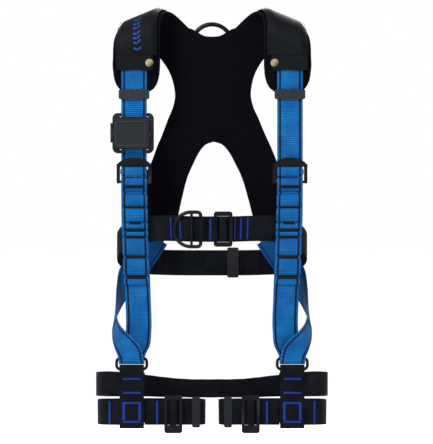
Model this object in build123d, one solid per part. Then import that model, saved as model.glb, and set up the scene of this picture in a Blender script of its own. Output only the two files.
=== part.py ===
from build123d import *
import os
from math import cos, pi, radians, sin, tan

# Full-body fall-arrest harness, hanging upright and open, in millimetres.
# X is the wearer's left-right axis as seen from the front, Y points to the rear, Z up.
# All geometry is laid out with Y = 0 on the shoulder ridge; the finished parts are shifted
# so that the origin is the inner top of the dorsal ring, where a lanyard hook bears.

# --- driving dimensions -------------------------------------------------------------------
WEB = 45.0                      # webbing width
WEB_T = 2.0                     # webbing thickness
PLY = 2.3                       # pitch of two webbing layers laid on each other

PAD_T = 10.0
PAD_R = 38.0                    # mid radius of the padded shoulder arch
ARCH_STEPS = 12
RIDGE_SLOPE = radians(22.3)     # fall of the shoulder ridge from neck to shoulder tip
NECK_PEAK = Vector(81, 0, 28)   # highest, innermost corner of the arch
PAD_INNER_X = 88.0
PAD_OUTER_X = 170.0
PAD_LEAN = 0.02                 # the free hanging pad drifts sideways by this share of its drop
PAD_SPLAY = 4.0                 # outward drift of the pad's front below the ridge
PAD_BOTTOM_Z = -119.0
PAD_CORNER = 20.0

STRAP_X = 137.0                 # middle of both front straps
STRAP_R = 48.0                  # arch radius of the shoulder strap
STRAP_Y = -STRAP_R              # plane of the shoulder strap in front of the chest
COVER_T = 2.0
COVER_R = 51.0

RING_Y = 60.0                   # plane of the dorsal ring
RING_WIRE = 4.0
RING_HALF = 35.0                # half width of the dorsal ring's centre line
RING_BAR_Z = -62.0

BELT_Z = -360.0
BELT_Y = -46.0
REAR_BELT_Z = -420.0
REAR_BELT_Y = 56.0
THIGH_Z = -682.0
THIGH_FRONT_Y = -50.0
THIGH_REAR_Y = 30.0

ALONG = Vector(cos(RIDGE_SLOPE), 0, -sin(RIDGE_SLOPE))
RISE = Vector(sin(RIDGE_SLOPE), 0, cos(RIDGE_SLOPE))
REAR = Vector(0, 1, 0)
ARCH_OUT_R = PAD_R + PAD_T / 2
ARCH_START = NECK_PEAK - RISE * ARCH_OUT_R
ARCH_LEAD = PAD_R * tan(RIDGE_SLOPE) * pi
BACK_RUN = Vector(-sin(2 * RIDGE_SLOPE), 0, -cos(2 * RIDGE_SLOPE))
SIDES = {"l": -1, "r": 1}

os.makedirs("parts", exist_ok=True)


# --- building blocks ----------------------------------------------------------------------
def save(shape, node):
    """Write one node, shifted so that the origin is the dorsal ring's inner top."""
    shape = shape.moved(Pos(0, -RING_Y, 0))
    shape.label = node
    export_step(shape, f"parts/{node}.step")


def on_side(shape, side):
    """Shapes are drawn for +X; the other side is their mirror image."""
    return shape if side > 0 else shape.mirror(Plane.YZ)


def ribbon(stations, thickness=WEB_T):
    """Flat band through stations of (centre, full-width vector), in straight facets."""
    rings = []
    last = len(stations) - 1
    for index, (centre, wide) in enumerate(stations):
        before = stations[max(index - 1, 0)][0]
        after = stations[min(index + 1, last)][0]
        normal = (after - before).cross(wide).normalized() * (thickness / 2)
        half = wide / 2
        rings.append(
            [centre + half + normal, centre - half + normal, centre - half - normal, centre + half - normal]
        )
    faces = [Face(Wire.make_polygon(ring, close=True)) for ring in (rings[0], rings[-1])]
    for near, far in zip(rings, rings[1:]):
        # front and rear faces are split along the same diagonal, so a twisted band keeps its thickness
        triangles = [
            [near[0], near[1], far[1]],
            [near[0], far[1], far[0]],
            [near[3], near[2], far[2]],
            [near[3], far[2], far[3]],
            [near[1], near[2], far[2]],
            [near[1], far[2], far[1]],
            [near[3], near[0], far[0]],
            [near[3], far[0], far[3]],
        ]
        faces += [Face(Wire.make_polygon(triangle, close=True)) for triangle in triangles]
    body = Solid(Shell(faces))
    return body.fix()


def level_band(points, wide=Vector(WEB, 0, 0), thickness=WEB_T):
    """Band of constant width direction through the points."""
    return ribbon([(Vector(*point), wide) for point in points], thickness)


def plate(outline, front_y, rear_y):
    """Flat plate: an outline of (x, z) points between two Y planes."""
    sketch = Plane.XZ * make_face(Polyline(*outline, close=True))
    return Pos(0, rear_y, 0) * extrude(sketch, rear_y - front_y)


def box_between(low, high):
    """Box from its lowest to its highest corner."""
    size = [b - a for a, b in zip(low, high)]
    middle = [(a + b) / 2 for a, b in zip(low, high)]
    return Pos(*middle) * Box(*size)


def rounded_plate(low, high, front_y, rear_y, radius):
    """Plate with rounded corners between two (x, z) corners."""
    sketch = Plane.XZ * RectangleRounded(high[0] - low[0], high[1] - low[1], radius)
    body = extrude(sketch, rear_y - front_y)
    return Pos((low[0] + high[0]) / 2, rear_y, (low[1] + high[1]) / 2) * body


def window_frame(low, high, front_y, rear_y, radius, wall_x, wall_z):
    """Rectangular frame with one window."""
    outer = rounded_plate(low, high, front_y, rear_y, radius)
    inner_low = (low[0] + wall_x, low[1] + wall_z)
    inner_high = (high[0] - wall_x, high[1] - wall_z)
    return outer - rounded_plate(inner_low, inner_high, front_y - 1, rear_y + 1, 1.5)


def bent_ring(corners, radii, wire):
    """Closed ring of round wire in an XZ plane, through (x, z) corners."""
    flat = FilletPolyline(*corners, radius=radii, close=True)
    path = Plane.XZ * flat
    section = Plane(origin=path @ 0, z_dir=path % 0) * Circle(wire)
    return sweep(section, path=path)


def rod(start, end, radius):
    """Round bar between two points."""
    start = Vector(*start)
    end = Vector(*end)
    section = Plane(origin=start, z_dir=end - start) * Circle(radius)
    return extrude(section, (end - start).length)


# --- shoulder arch ------------------------------------------------------------------------
def arch_point(front_x, radius, turn):
    """Point of a band wrapped over the ridge; turn 0 is its front foot, pi its rear foot."""
    reach = (front_x - ARCH_START.X) / cos(RIDGE_SLOPE) - ARCH_LEAD * turn / pi
    return ARCH_START + ALONG * reach + (RISE * sin(turn) - REAR * cos(turn)) * radius


def splay(turn):
    """How far the pad's front drifts outwards from the ridge down to its foot."""
    return Vector(PAD_SPLAY * max(cos(turn), 0), 0, 0)


def arch_stations(front_x, radius, width, first=0, last=ARCH_STEPS):
    """Stations of a band over the arch, from step first to step last of the half turn."""
    wide = ALONG * (width / cos(RIDGE_SLOPE))
    turns = [pi * step / ARCH_STEPS for step in range(first, last + 1)]
    return [(arch_point(front_x, radius, turn), wide) for turn in turns]


def splayed_stations(front_x, radius, width, first=0, last=ARCH_STEPS):
    """Arch stations of the pad or its cover, whose front drifts outwards."""
    plain = arch_stations(front_x, radius, width, first, last)
    turns = [pi * step / ARCH_STEPS for step in range(first, last + 1)]
    return [(centre + splay(turn), wide) for (centre, wide), turn in zip(plain, turns)]


def shoulder_pad():
    """Padded front panel and the arch over the shoulder."""
    mid = (PAD_INNER_X + PAD_OUTER_X) / 2
    width = PAD_OUTER_X - PAD_INNER_X
    stations = splayed_stations(mid, PAD_R, width)
    hem = [
        (PAD_BOTTOM_Z, width - 2 * PAD_CORNER),
        (PAD_BOTTOM_Z + 6, width - 22),
        (PAD_BOTTOM_Z + 16, width - 11),
        (PAD_BOTTOM_Z + 36, width),
    ]
    foot_x = mid + PAD_SPLAY
    panel = [(Vector(foot_x, -PAD_R, z), Vector(wide, 0, 0)) for z, wide in hem]
    lead_out = (stations[-1][0] + BACK_RUN * 4, stations[0][1])
    return ribbon(panel + stations + [lead_out], PAD_T)


def back_pad():
    """X-shaped back pad: two arms from the shoulders, a waist and two legs."""
    heel_mid = arch_point((PAD_INNER_X + PAD_OUTER_X) / 2, PAD_R, pi) + BACK_RUN * 8
    half = ALONG * ((PAD_OUTER_X - PAD_INNER_X) / cos(RIDGE_SLOPE) / 2)
    inner = heel_mid - half
    outer = heel_mid + half
    right = [
        (0, -20),
        (14, -18.5),
        (27, -11.5),
        (inner.X, inner.Z),
        (outer.X, outer.Z),
        (101, -48),
        (92, -56),
        (85, -65),
        (75, -82),
        (68, -105),
        (66, -124),
        (69.5, -142),
        (80, -167),
        (89, -190),
        (100, -215),
        (112, -245),
        (129, -276),
        (143, -302),
        (152, -330),
        (146, -352),
        (128, -366),
        (96, -370),
        (78, -362),
        (70, -345),
        (61, -310),
        (47, -262),
        (28, -224),
        (15, -209),
        (0, -204),
    ]
    left = [(-x, z) for x, z in reversed(right[1:-1])]
    outline = [(x - PAD_LEAN * (z - outer.Z) if z < outer.Z else x, z) for x, z in right + left]
    return plate(outline, ARCH_OUT_R - PAD_T, ARCH_OUT_R)


def shoulder_cover():
    """Raised cover panel that lies over the strap, from the chest to behind the shoulder."""
    mid = (PAD_INNER_X + PAD_OUTER_X) / 2
    stations = splayed_stations(mid, COVER_R, 70, 0, ARCH_STEPS - 2)
    foot = stations[0][0]
    hem = Vector(foot.X, foot.Y, -54.2)
    return ribbon([(hem, Vector(70, 0, 0))] + stations, COVER_T)


def snap_tab():
    """Tab that closes over the strap below the cover; it hinges on its outer edge."""
    tab = rounded_plate((104, -81), (168, -54.8), -COVER_R - 1, -COVER_R + 1, 5)
    return tab - rod((110, -COVER_R - 2, -68), (110, -COVER_R + 2, -68), 2.1)


def snap_cap():
    """Snap fastener's cap: a shallow dome in front of the tab and a socket behind it."""
    dome = rod((110, -COVER_R - 2.6, -68), (110, -COVER_R - 1, -68), 7)
    stem = rod((110, -COVER_R - 1, -68), (110, -COVER_R + 1.5, -68), 2)
    return dome + stem


def snap_stud():
    """Snap fastener's stud on the pad."""
    base = rod((110, -ARCH_OUT_R - 1, -68), (110, -ARCH_OUT_R, -68), 3.8)
    neck = rod((110, -ARCH_OUT_R - 5.5, -68), (110, -ARCH_OUT_R - 1, -68), 2)
    return base + neck


def shoulder_strap():
    """Strap from the dorsal plate, over the shoulder, down to a roll round the adjuster bar."""
    arch = arch_stations(STRAP_X, STRAP_R, WEB)
    skew = arch[0][1]
    tip = arch[-1][0] + BACK_RUN * 94
    level = Vector(WEB, 0, 0)
    roll = [
        (STRAP_Y, -150),
        (STRAP_Y, -262),
        (STRAP_Y - 1.5, -265.5),
        (STRAP_Y - 6, -267.8),
        (STRAP_Y - 11, -265.5),
        (STRAP_Y - 12.5, -262),
        (STRAP_Y - 12.5, -256),
        (STRAP_Y - 11, -252.8),
        (STRAP_Y - 6, -251.3),
    ]
    front = [(Vector(STRAP_X, y, z), level) for y, z in reversed(roll)]
    top = [(Vector(STRAP_X, STRAP_Y, -80), skew)]
    return ribbon(front + top + arch + [(tip, skew)])


def strap_keeper(front_x, bottom, top, middle_y, slack):
    """Moulded sleeve that holds two layers of strap together."""
    reach = WEB / 2 + 4.5
    depth = WEB_T / 2 + slack
    low = (front_x - reach, bottom)
    high = (front_x + reach, top)
    body = rounded_plate(low, high, middle_y - depth - 2, middle_y + depth + 1.2, 3.2)
    slot = box_between(
        (front_x - WEB / 2 - 1, middle_y - depth, bottom - 1), (front_x + WEB / 2 + 1, middle_y + depth, top + 1)
    )
    return body - slot


def band_keeper(low_x, high_x, middle_y, middle_z):
    """Moulded sleeve on a level strap."""
    reach = WEB / 2 + 1.2
    depth = WEB_T / 2 + 1.4
    low = (low_x, middle_z - reach - 3)
    high = (high_x, middle_z + reach + 3)
    body = rounded_plate(low, high, middle_y - depth - 1.8, middle_y + depth + 1.8, 2.8)
    slot_low = (low_x - 1, middle_y - depth, middle_z - reach)
    slot_high = (high_x + 1, middle_y + depth, middle_z + reach)
    return body - box_between(slot_low, slot_high)


# --- adjuster -----------------------------------------------------------------------------
ADJ_TOP_Z = -235.0
ADJ_FOOT_Z = -277.0
ADJ_FOOT_Y = -52.5


def adjuster_frame():
    """Adjuster: a winged thumb bar with an oval boss, two side rails and a foot bar."""
    half = [
        (8, ADJ_TOP_Z),
        (17, -237),
        (25, -241.5),
        (31.5, -247.5),
        (27, -253.5),
        (21, -248.5),
    ]
    right = [(STRAP_X + x, z) for x, z in half]
    left = [(STRAP_X - x, z) for x, z in reversed(half)]
    frame = plate(right + left, -57, -52)
    frame += rounded_plate((STRAP_X - 12, -247.5), (STRAP_X + 12, -239), -58.2, -56.5, 4.1)
    for edge in (-1, 1):
        rail_x = STRAP_X + edge * 27.5
        frame += rounded_plate((rail_x - 3, ADJ_FOOT_Z - 3), (rail_x + 3, -248), -55, -50, 2.8)
    frame += rod((STRAP_X - 28, ADJ_FOOT_Y, ADJ_FOOT_Z), (STRAP_X + 28, ADJ_FOOT_Y, ADJ_FOOT_Z), 2.5)
    return frame


def adjuster_bar():
    """Floating bar that grips the strap; it slides up and down on the side rails."""
    return box_between((STRAP_X - 23.8, -57, -263.5), (STRAP_X + 23.8, -51, -255))


# --- front and leg webbing ----------------------------------------------------------------
def front_strap():
    """Strap from the adjuster's foot bar down to the leg ring, round it and out to the hip."""
    level = Vector(WEB, 0, 0)
    front = [
        (137, -50.2, -306),
        (137, -50.0, -293),
        (137, -47.5, -281),
        (137, -48.2, -275),
        (137, -52.5, -271.5),
        (137, -56.8, -275),
        (137, -57.5, -281),
        (137, -52.8, -292),
        (136.5, -52.5, -345),
        (133, -52.5, -410),
        (130, -52.5, -480),
        (129, -52, -540),
        (132, -50, -566),
        (139, -47, -580),
        (141, -45.8, -587),
        (141, -48, -594),
        (141, -53, -596.3),
        (141, -58, -594),
        (142, -60.2, -588),
    ]
    stations = [(Vector(*point), level) for point in front]
    wrap = [
        ((144, -61, -578), 10),
        ((151, -60, -567), 30),
        ((161, -54, -555), 54),
        ((169, -42, -540), 70),
        ((171.5, -28, -520), 80),
        ((167, -10, -495), 95),
        ((159, 10, -468), 119),
        ((148, 29, -443), 151),
        ((127, 43, -418), 175),
        ((108, 48, -391), 180),
        ((99, 48, -376), 180),
    ]
    centres = [stations[-1][0]] + [Vector(*centre) for centre, facing in wrap]
    for index, (centre, facing) in enumerate(wrap):
        after = centres[min(index + 2, len(wrap))]
        course = (after - centres[index]).normalized()
        outward = Vector(sin(radians(facing)), -cos(radians(facing)), 0)
        stations.append((Vector(*centre), course.cross(outward).normalized() * WEB))
    return ribbon(stations)


def back_strap():
    """Strap from the dorsal plate down the back pad's leg, lapped and sewn behind the front strap's end."""
    course = [
        ((24, 48, -136), (0.94, 0, 0.34)),
        ((71.5, 48, -250), (0.94, 0, 0.34)),
        ((98.5, 48.4, -335), (0.955, 0, 0.29)),
        ((105, 50.3, -364), (0.96, 0, 0.27)),
        ((111, 50.5, -394), (0.965, 0, 0.26)),
    ]
    return ribbon([(Vector(*centre), Vector(*wide).normalized() * WEB) for centre, wide in course])


def loop_webbing():
    """Overlay webbing, stitched down at seven places so that it stands off in loops."""
    seats = [-298, -322, -349, -362, -374, -409, -444]
    lifts = [8, 6, 2.2, 2.2, 7, 4.5]
    seat_y = -55.4
    points = [(136.5, seat_y, seats[0] + 2)]
    for upper, lower, lift in zip(seats, seats[1:], lifts):
        x = 136.5 + (upper - seats[0]) * 0.025
        span = upper - lower
        points.append((x, seat_y, upper))
        points.append((x, seat_y - lift * 0.85, upper - span * 0.28))
        points.append((x, seat_y - lift, upper - span * 0.5))
        points.append((x, seat_y - lift * 0.85, upper - span * 0.72))
    points.append((132.5, seat_y, seats[-1]))
    points.append((132, seat_y - 1.5, seats[-1] - 10))
    return level_band(points)


def leg_ring():
    """Rectangular ring of round wire that joins the front strap to the leg connector."""
    corners = [(114.5, -586.5), (167.5, -586.5), (167.5, -606), (114.5, -606)]
    return Pos(0, -53, 0) * bent_ring(corners, [7, 7, 7, 7], 2.6)


def leg_connector():
    """Black webbing looped through the leg ring and sewn round the seat and thigh straps."""
    points = [
        (141, -46.6, -640),
        (141, -47.0, -616),
        (141, -46.8, -606),
        (141, -48.6, -600.8),
        (141, -53, -598.9),
        (141, -57.4, -600.8),
        (141, -59.2, -606),
        (141, -56, -618),
        (141, -53, -630),
        (141, -52.7, -704),
        (141, -51.6, -708),
        (141, -49.4, -709.3),
        (141, -47.4, -708),
        (141, -46.6, -704),
        (141, -46.6, -644),
    ]
    return level_band(points, Vector(43, 0, 0))


def seat_strap():
    """Sub-pelvic strap: both ends on the leg connectors, round the hips and behind the seat."""
    right = [
        ((0, 46, -643), (0, -26, 33)),
        ((60, 46, -642), (0, -25, 34)),
        ((110, 45, -638.5), (0, -17, 38.5)),
        ((150, 41, -635), (0, -7, 41.5)),
        ((184, 28, -633), (0, 0, 42)),
        ((202, 2, -633), (0, 0, 42)),
        ((203, -14, -633), (0, 0, 42)),
        ((190, -40, -633), (0, 0, 42)),
        ((172, -49, -633), (0, 0, 42)),
        ((118, -49.8, -633), (0, 0, 42)),
    ]
    stations = [(Vector(*centre), Vector(*wide)) for centre, wide in right]
    left = [(Vector(-centre.X, centre.Y, centre.Z), wide) for centre, wide in reversed(stations[1:])]
    return ribbon(left + stations)


# --- thigh straps -------------------------------------------------------------------------
def thigh_strap():
    """Strap round the thigh; it rises over the buckle's bar at the front."""
    rear = THIGH_REAR_Y
    front = THIGH_FRONT_Y
    points = [
        (119, front, THIGH_Z),
        (176, front, THIGH_Z),
        (193, front + 9, THIGH_Z),
        (200, front + 28, THIGH_Z),
        (200, rear - 28, THIGH_Z),
        (193, rear - 9, THIGH_Z),
        (176, rear, THIGH_Z),
        (38, rear, THIGH_Z),
        (21, rear - 9, THIGH_Z),
        (14, rear - 28, THIGH_Z),
        (14, front + 14, THIGH_Z),
        (15.5, front + 6.5, THIGH_Z),
        (19.5, front + 2, THIGH_Z),
        (56.5, front + 2, THIGH_Z),
        (59.5, front - 0.5, THIGH_Z),
        (62, front - 6, THIGH_Z),
        (68, front - 9.6, THIGH_Z),
        (74, front - 6, THIGH_Z),
        (76.5, front - 0.5, THIGH_Z),
        (79.5, front + 2, THIGH_Z),
        (100, front + 1, THIGH_Z),
        (118.4, front, THIGH_Z),
    ]
    return level_band(points, Vector(0, 0, 44))


def buckle_frame(low, high, middle_y, strap_z, strap_width):
    """Flat friction-buckle frame whose one window is as tall as its strap."""
    reach = strap_width / 2 + 0.3
    body = rounded_plate(low, high, middle_y - 2.2, middle_y + 2.2, 5)
    window_low = (low[0] + 5.4, strap_z - reach)
    window_high = (high[0] - 5.4, strap_z + reach)
    return body - rounded_plate(window_low, window_high, middle_y - 3.2, middle_y + 3.2, 1.5)


def buckle_bar(x, low_z, high_z, front_y):
    """Floating bar of a friction buckle: it rides in the window on two end blocks."""
    return rod((x, front_y, low_z), (x, front_y, high_z), 3.4)


# --- belt ---------------------------------------------------------------------------------
def belt_side():
    """Belt from in front, round the hip, to its seam with the rear belt."""
    return [
        (112, BELT_Y, BELT_Z),
        (138, BELT_Y + 5, -364),
        (158, BELT_Y + 24, -376),
        (167, 4, -390),
        (161, 32, -404),
        (140, 52, -413),
        (114, REAR_BELT_Y, -418),
        (104, REAR_BELT_Y - 0.2, -418.6),
        (90, REAR_BELT_Y - 0.8, -419),
    ]


def belt_left():
    """Left belt half, drawn on +X and mirrored; its front end is sewn round the buckle frame."""
    tip = [
        (3, BELT_Y - 10, BELT_Z),
        (-7, BELT_Y - 10, BELT_Z),
        (-9.6, BELT_Y - 8, BELT_Z),
        (-10.3, BELT_Y - 5, BELT_Z),
        (-9.6, BELT_Y - 2, BELT_Z),
        (-7, BELT_Y, BELT_Z),
        (20, BELT_Y, BELT_Z),
    ]
    return level_band(tip + belt_side(), Vector(0, 0, WEB))


def belt_right():
    """Right belt half: it rises over the buckle's bar and ends behind the left half."""
    tip = [
        (4, BELT_Y + 3.2, BELT_Z),
        (8.5, BELT_Y + 3, BELT_Z),
        (11.5, BELT_Y + 1.4, BELT_Z),
        (12.9, BELT_Y - 2, BELT_Z),
        (13, BELT_Y - 5, BELT_Z),
        (13.6, BELT_Y - 9, BELT_Z),
        (19, BELT_Y - 12.2, BELT_Z),
        (24.6, BELT_Y - 9, BELT_Z),
        (26.5, BELT_Y - 3, BELT_Z),
        (30, BELT_Y, BELT_Z),
    ]
    return level_band(tip + belt_side(), Vector(0, 0, WEB))


def belt_rear():
    """Rear belt; its ends are sewn behind the two belt halves."""
    right = [
        (0, REAR_BELT_Y, REAR_BELT_Z),
        (60, REAR_BELT_Y, -419.8),
        (74, REAR_BELT_Y + 0.6, -419.6),
        (88, REAR_BELT_Y + 2, -419.2),
        (104, REAR_BELT_Y + 2.5, -418.6),
        (114, REAR_BELT_Y + 2.4, -418),
    ]
    left = [(-x, y, z) for x, y, z in reversed(right[1:])]
    return level_band(left + right, Vector(0, 0, WEB))


D_BAR_X = -20.0
D_RING_Y = -51.0


def belt_d_ring():
    """Ventral D-ring with a second bar that keeps the belt loop in place."""
    corners = [(-66.8, -390.8), (D_BAR_X, -390.8), (D_BAR_X, -330.2), (-66.8, -330.2)]
    ring = Pos(0, D_RING_Y, 0) * bent_ring(corners, [30, 6, 6, 30], 3.2)
    return ring + rod((-36, D_RING_Y, -391), (-36, D_RING_Y, -330), 2.4)


def belt_d_loop():
    """Short loop of webbing over the D-ring's outer bar, sewn to the belt."""
    points = [
        (-2, BELT_Y - PLY, BELT_Z),
        (-10, BELT_Y - PLY - 0.4, BELT_Z),
        (-14, D_RING_Y - 2, BELT_Z),
        (-16.5, D_RING_Y - 4.2, BELT_Z),
        (-20, D_RING_Y - 5.2, BELT_Z),
        (-23.5, D_RING_Y - 4.2, BELT_Z),
        (-25.6, D_RING_Y - 1, BELT_Z),
        (-26.4, BELT_Y - PLY - 0.2, BELT_Z),
    ]
    return level_band(points, Vector(0, 0, 43))


# --- dorsal attachment --------------------------------------------------------------------
def dorsal_ring():
    """Dorsal D-ring; the inner top of its crown is the origin."""
    crown = RING_HALF - 0.1
    top = RING_WIRE
    half = RING_HALF
    corners = [(-half, RING_BAR_Z), (half, RING_BAR_Z), (half, top), (-half, top)]
    return Pos(0, RING_Y, 0) * bent_ring(corners, [9, 9, crown, crown], RING_WIRE)


def dorsal_plate():
    """Moulded plate over the strap crossing, with a sleeve for the D-ring's bar."""
    outline = [
        (-24, -52),
        (24, -52),
        (46, -76),
        (46, -126),
        (24, -150),
        (-24, -150),
        (-46, -126),
        (-46, -76),
    ]
    body = plate(outline, 50, 54)
    body += rod((-22, RING_Y, RING_BAR_Z), (22, RING_Y, RING_BAR_Z), 7.4)
    body += box_between((-22, 52, -69), (22, 58, -55))
    return body - rod((-30, RING_Y, RING_BAR_Z), (30, RING_Y, RING_BAR_Z), RING_WIRE + 0.06)


# --- label case ---------------------------------------------------------------------------
CASE_LOW = (-175, -227)
CASE_HIGH = (-102, -156)
TRAY_LOW = (-173, -218)
TRAY_HIGH = (-111, -166)
TRAY_WALL = 2.0
TRAY_FRONT_Y = -61.0
CASE_FLOOR_Y = -51.0
HINGE_X = -176.0
HINGE_Y = -62.0


def label_case_base():
    """Case body: a floor in front of the strap, two strap bars behind it and the tray walls."""
    frame = window_frame(CASE_LOW, CASE_HIGH, CASE_FLOOR_Y - 2, CASE_FLOOR_Y, 10, 11, 10)
    frame += rounded_plate(TRAY_LOW, TRAY_HIGH, CASE_FLOOR_Y - 2, CASE_FLOOR_Y, 3)
    for low_z, high_z in ((-227, -221), (-162, -156)):
        frame -= box_between((-162, CASE_FLOOR_Y - 3, low_z - 1), (-112, CASE_FLOOR_Y + 1, high_z + 1))
        frame += box_between((-165, -46.2, low_z), (-109, -44.2, high_z))
        for low_x, high_x in ((-165, -161.5), (-112.5, -109)):
            frame += box_between((low_x, CASE_FLOOR_Y - 1, low_z), (high_x, -44.2, high_z))
    tray = window_frame(TRAY_LOW, TRAY_HIGH, TRAY_FRONT_Y, CASE_FLOOR_Y - 1, 3, TRAY_WALL, TRAY_WALL)
    for low_z, high_z in ((-208, -197), (-185, -174)):
        tray += rod((HINGE_X, HINGE_Y, low_z), (HINGE_X, HINGE_Y, high_z), 2.4)
        tray += box_between((HINGE_X, HINGE_Y + 1, low_z), (TRAY_LOW[0] + 1, HINGE_Y + 2.4, high_z))
    tray -= rod((HINGE_X, HINGE_Y, -210), (HINGE_X, HINGE_Y, -172), 1.05)
    return frame + tray


def label_case_lid():
    """Hinged lid with a middle knuckle."""
    lid = rounded_plate((-172.4, -218), (-111, -166), TRAY_FRONT_Y - 2.6, TRAY_FRONT_Y - 0.3, 4.5)
    lid -= rounded_plate((-168, -212.5), (-119, -171.5), TRAY_FRONT_Y - 3, TRAY_FRONT_Y - 1.5, 4)
    lid += rod((HINGE_X, HINGE_Y, -196.6), (HINGE_X, HINGE_Y, -185.4), 2.4)
    lid += box_between((HINGE_X, HINGE_Y - 1.4, -196.6), (-171, HINGE_Y + 0.6, -185.4))
    return lid - rod((HINGE_X, HINGE_Y, -198), (HINGE_X, HINGE_Y, -184), 1.05)


def label_case_pin():
    """Hinge pin of the case."""
    return rod((HINGE_X, HINGE_Y, -208), (HINGE_X, HINGE_Y, -174), 1.0)


def label_case_latch():
    """Thumb catch that slides sideways over the edge of the lid."""
    return box_between((-110.7, TRAY_FRONT_Y - 1, -199), (-107, CASE_FLOOR_Y - 2.3, -187))


def label_pack():
    """Folded inspection labels kept in the case."""
    return box_between((-169, TRAY_FRONT_Y + 2, -214), (-115, CASE_FLOOR_Y - 2.4, -170))


# --- write every node ---------------------------------------------------------------------
def save_pair(shape, node):
    """Write the mirrored pair of one node."""
    for name, side in SIDES.items():
        save(on_side(shape, side), f"{node}_{name}")


def main():
    save(back_pad(), "back_pad")
    save_pair(shoulder_pad(), "shoulder_pad")
    save_pair(shoulder_cover(), "shoulder_cover")
    save_pair(snap_tab(), "snap_tab")
    save_pair(snap_cap(), "snap_cap")
    save_pair(snap_stud(), "snap_stud")
    save_pair(shoulder_strap(), "shoulder_strap")
    save_pair(strap_keeper(STRAP_X, -131.5, -114.5, STRAP_Y, 1.6), "strap_keeper")
    save_pair(adjuster_frame(), "adjuster_frame")
    save_pair(adjuster_bar(), "adjuster_bar")
    save_pair(front_strap(), "front_strap")
    save_pair(back_strap(), "back_strap")
    save_pair(loop_webbing(), "loop_webbing")
    save_pair(leg_ring(), "leg_ring")
    save_pair(leg_connector(), "leg_connector")
    save(seat_strap(), "seat_strap")
    save_pair(thigh_strap(), "thigh_strap")
    save_pair(buckle_frame((52, -718.5), (84, -653), -52.5, THIGH_Z, 44), "thigh_buckle_frame")
    save_pair(buckle_bar(68, -703.8, -660.2, -53), "thigh_buckle_bar")
    save_pair(band_keeper(21, 35, THIGH_FRONT_Y + 2, THIGH_Z), "thigh_keeper")
    save(band_keeper(27, 47, REAR_BELT_Y, REAR_BELT_Z + 0.5), "belt_keeper")
    save(on_side(belt_left(), -1), "belt_left")
    save(belt_right(), "belt_right")
    save(belt_rear(), "belt_rear")
    save(belt_d_ring(), "belt_d_ring")
    save(belt_d_loop(), "belt_d_loop")
    save(buckle_frame((3, -391), (36, -329), -51, BELT_Z, WEB), "belt_buckle_frame")
    save(buckle_bar(19, -382.3, -337.7, -52), "belt_buckle_bar")
    save(dorsal_ring(), "dorsal_ring")
    save(dorsal_plate(), "dorsal_plate")
    save(label_case_base(), "label_case_base")
    save(label_case_lid(), "label_case_lid")
    save(label_case_pin(), "label_case_pin")
    save(label_case_latch(), "label_case_latch")
    save(label_pack(), "label_pack")


main()
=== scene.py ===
import math

import bmesh
import bpy
import numpy as np
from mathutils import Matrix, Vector
from mathutils.geometry import delaunay_2d_cdt


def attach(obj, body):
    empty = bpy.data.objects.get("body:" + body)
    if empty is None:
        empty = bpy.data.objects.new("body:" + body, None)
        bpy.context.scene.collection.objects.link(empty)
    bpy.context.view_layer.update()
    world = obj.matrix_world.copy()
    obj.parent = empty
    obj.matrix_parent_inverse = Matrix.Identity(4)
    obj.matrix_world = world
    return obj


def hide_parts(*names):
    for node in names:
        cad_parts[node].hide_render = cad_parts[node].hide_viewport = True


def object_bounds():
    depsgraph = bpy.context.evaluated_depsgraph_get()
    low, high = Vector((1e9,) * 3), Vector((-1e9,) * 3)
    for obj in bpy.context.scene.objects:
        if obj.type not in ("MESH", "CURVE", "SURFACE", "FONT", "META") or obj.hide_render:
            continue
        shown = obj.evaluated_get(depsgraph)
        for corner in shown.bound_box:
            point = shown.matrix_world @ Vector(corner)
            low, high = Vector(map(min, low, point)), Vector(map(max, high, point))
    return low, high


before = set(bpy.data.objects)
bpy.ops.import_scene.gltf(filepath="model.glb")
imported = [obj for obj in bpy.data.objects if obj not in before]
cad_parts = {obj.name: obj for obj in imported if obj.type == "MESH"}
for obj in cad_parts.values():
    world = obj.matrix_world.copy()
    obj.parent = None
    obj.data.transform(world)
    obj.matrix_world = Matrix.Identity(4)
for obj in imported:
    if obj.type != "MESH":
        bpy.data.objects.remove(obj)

CAD_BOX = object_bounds()

# --- layout, in millimetres with Y = 0 on the shoulder ridge, as in the CAD source --------
RING_Y = 60.0                    # the origin is this far behind the ridge
WEB = 45.0
WEB_T = 2.0
RIDGE_SLOPE = math.radians(22.3)
PAD_R = 38.0
PAD_T = 10.0
PAD_INNER_X = 88.0
PAD_OUTER_X = 170.0
STRAP_X = 137.0
STRAP_R = 48.0
COVER_R = 51.0
BELT_Y = -46.0
BELT_Z = -360.0
REAR_BELT_Y = 56.0
THIGH_Z = -682.0
THIGH_FRONT_Y = -50.0
THIGH_REAR_Y = 30.0
PAD_SPLAY = 4.0
PAD_LEAN = 0.02
ARCH_STEPS = 12

ALONG = Vector((math.cos(RIDGE_SLOPE), 0, -math.sin(RIDGE_SLOPE)))
RISE = Vector((math.sin(RIDGE_SLOPE), 0, math.cos(RIDGE_SLOPE)))
FRONT = Vector((0, -1, 0))
REAR = Vector((0, 1, 0))
ARCH_START = Vector((81, 0, 28)) - RISE * (PAD_R + PAD_T / 2)
ARCH_LEAD = PAD_R * math.tan(RIDGE_SLOPE) * math.pi
BACK_RUN = Vector((-math.sin(2 * RIDGE_SLOPE), 0, -math.cos(2 * RIDGE_SLOPE)))
SIDES = {"l": -1, "r": 1}
ROOT = "harness"


def to_row(point):
    """Layout millimetres to row metres."""
    return Vector((point[0], point[1] - RING_Y, point[2])) / 1000


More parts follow.
